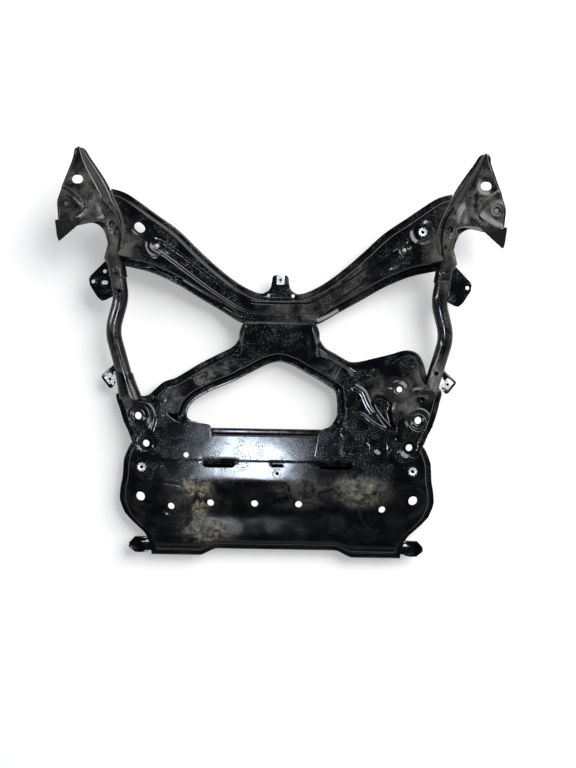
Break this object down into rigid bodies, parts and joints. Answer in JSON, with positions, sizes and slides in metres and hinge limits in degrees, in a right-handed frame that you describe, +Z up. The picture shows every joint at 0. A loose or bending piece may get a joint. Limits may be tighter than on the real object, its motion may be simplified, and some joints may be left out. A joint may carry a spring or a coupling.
{
  "type": "subframe",
  "caption": "Welded front suspension subframe: black pressed-steel box sections in a V and an X between horned front arms, bent side tubes and a wide rear plate with bolt holes.",
  "frame": {"origin": "on the ground under the middle of the outline, with the frame lying on its lower shells", "axes": "+X to the right-hand side, +Y to the front, where the horns are, +Z up"},
  "size_m": [1.0126, 0.9235, 0.1267],
  "materials": {
    "black_paint": "semi-gloss black, dusty",
    "zinc": "bare zinc plating"
  },
  "bodies": {
    "root": {"front_crossmember_upper": "black_paint", "front_crossmember_lower": "black_paint", "centre_brace_upper": "black_paint", "centre_brace_lower": "black_paint", "left_corner_upper": "black_paint", "left_corner_lower": "black_paint", "right_corner_upper": "black_paint", "right_corner_lower": "black_paint", "mount_pocket": "black_paint", "rear_plate_upper": "black_paint", "rear_plate_lower": "black_paint", "left_horn": "black_paint", "right_horn": "black_paint", "left_side_tube": "black_paint", "right_side_tube": "black_paint", "left_tube_socket": "black_paint", "left_shield_bracket": "black_paint", "right_shield_bracket": "black_paint", "left_clip_bracket": "black_paint", "right_clip_bracket": "black_paint", "centre_tab": "black_paint", "left_rear_tab": "black_paint", "right_rear_tab": "black_paint", "horn_bushes": "black_paint", "corner_sleeves": "black_paint", "link_sleeves": "black_paint", "body_mount_sleeves": "black_paint", "steering_gear_sleeves": "black_paint", "clip_nuts": "zinc", "rivet_nuts": "zinc"}
  },
  "joints": []
}
